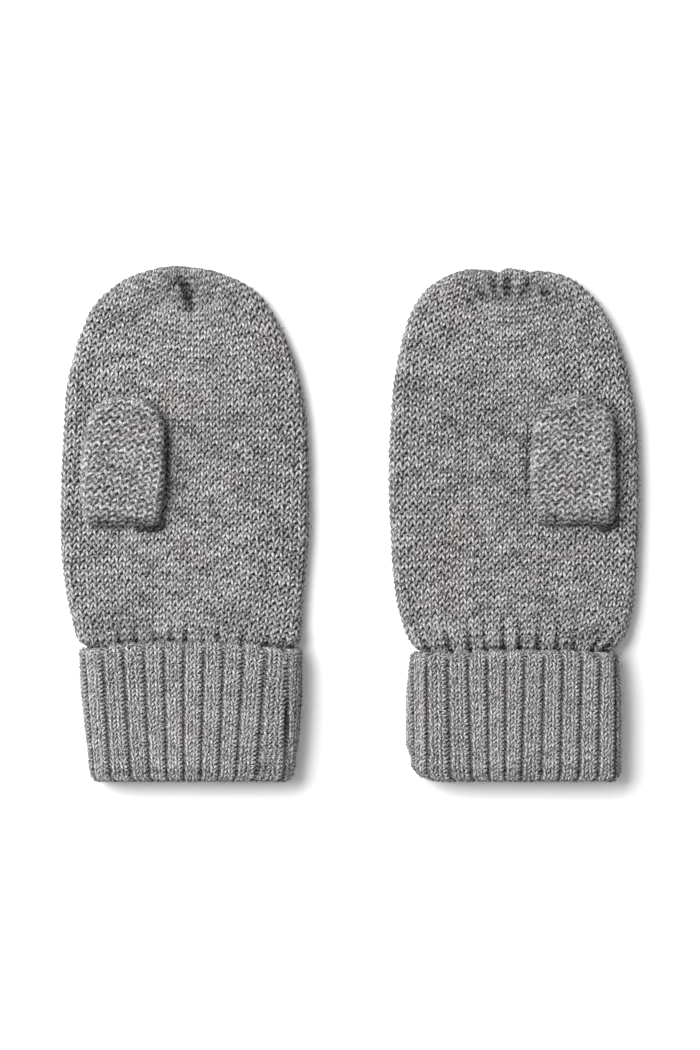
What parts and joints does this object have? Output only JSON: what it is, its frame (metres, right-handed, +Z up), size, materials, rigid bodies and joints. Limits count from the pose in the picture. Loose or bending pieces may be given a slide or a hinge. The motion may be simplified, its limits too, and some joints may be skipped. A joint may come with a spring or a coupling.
{
  "type": "pair of mittens",
  "caption": "Pair of small child's knitted wool mittens with folded-up ribbed cuffs, laid flat with the palms up and the thumbs folded on the palms.",
  "frame": {"origin": "on the surface that the mittens lie on, under the middle of the pair", "axes": "+Z up, out of the palms; +Y from the cuffs to the fingertips; +X across the pair, from the left mitten to the right one as seen from above"},
  "size_m": [0.1858, 0.1648, 0.0109],
  "materials": {
    "hand_knit": "grey melange wool, plain knit",
    "thumb_knit": "grey melange wool, plain knit in larger stitches",
    "cuff_rib": "grey melange wool, ribbed knit"
  },
  "bodies": {
    "root": {"left_hand": "hand_knit", "left_thumb": "thumb_knit", "left_cuff": "cuff_rib", "right_hand": "hand_knit", "right_thumb": "thumb_knit", "right_cuff": "cuff_rib"}
  },
  "joints": []
}
